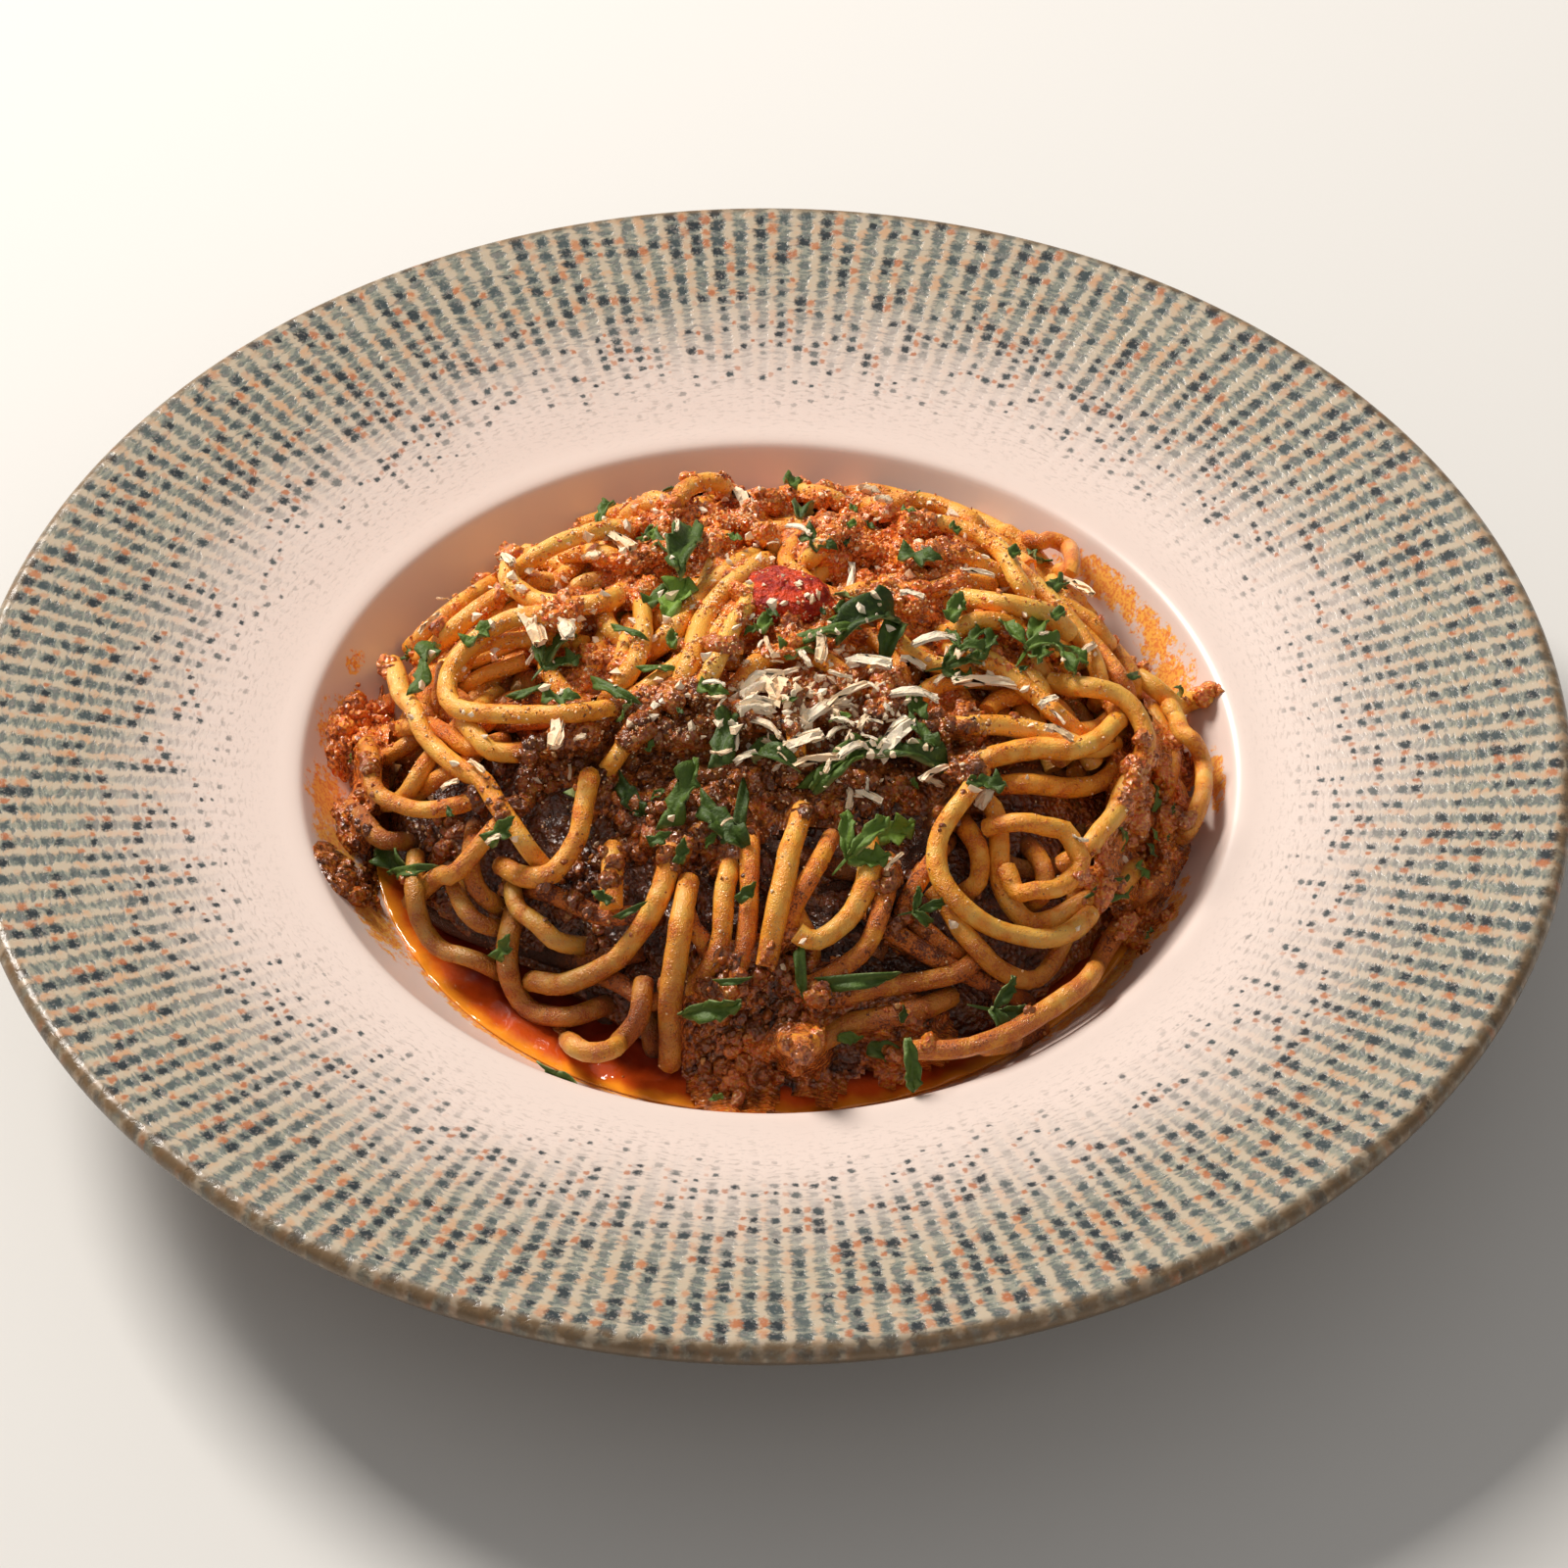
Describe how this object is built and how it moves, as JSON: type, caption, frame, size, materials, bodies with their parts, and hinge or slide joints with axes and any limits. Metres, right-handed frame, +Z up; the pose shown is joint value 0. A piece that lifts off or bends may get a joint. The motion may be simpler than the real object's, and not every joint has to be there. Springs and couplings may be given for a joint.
{
  "type": "plate of spaghetti bolognese",
  "caption": "Heap of spaghetti with meat sauce, herbs and grated cheese in a wide-rimmed round pasta bowl with a deep well.",
  "frame": {"origin": "centre of the foot ring on the table, under the bowl's axis", "axes": "+Z up along the bowl's axis; -Y is the front of the plated dish, +X its right"},
  "size_m": [0.28, 0.28, 0.063],
  "materials": {
    "glazed_stoneware": "glazed ceramic, satin gloss, woven dots on the rim",
    "spaghetti": "cooked pasta with an oily sauce coat",
    "ragu": "moist granular meat sauce",
    "oily_sauce": "glossy red-orange oil",
    "tomato": "wet cooked tomato"
  },
  "bodies": {
    "root": {"bowl": "glazed_stoneware", "sauce_pool": "oily_sauce", "spaghetti_heap": "spaghetti", "ragu_top": "ragu", "ragu_left": "ragu", "ragu_right": "ragu", "ragu_front": "ragu", "tomato_chunk": "tomato"}
  },
  "joints": []
}
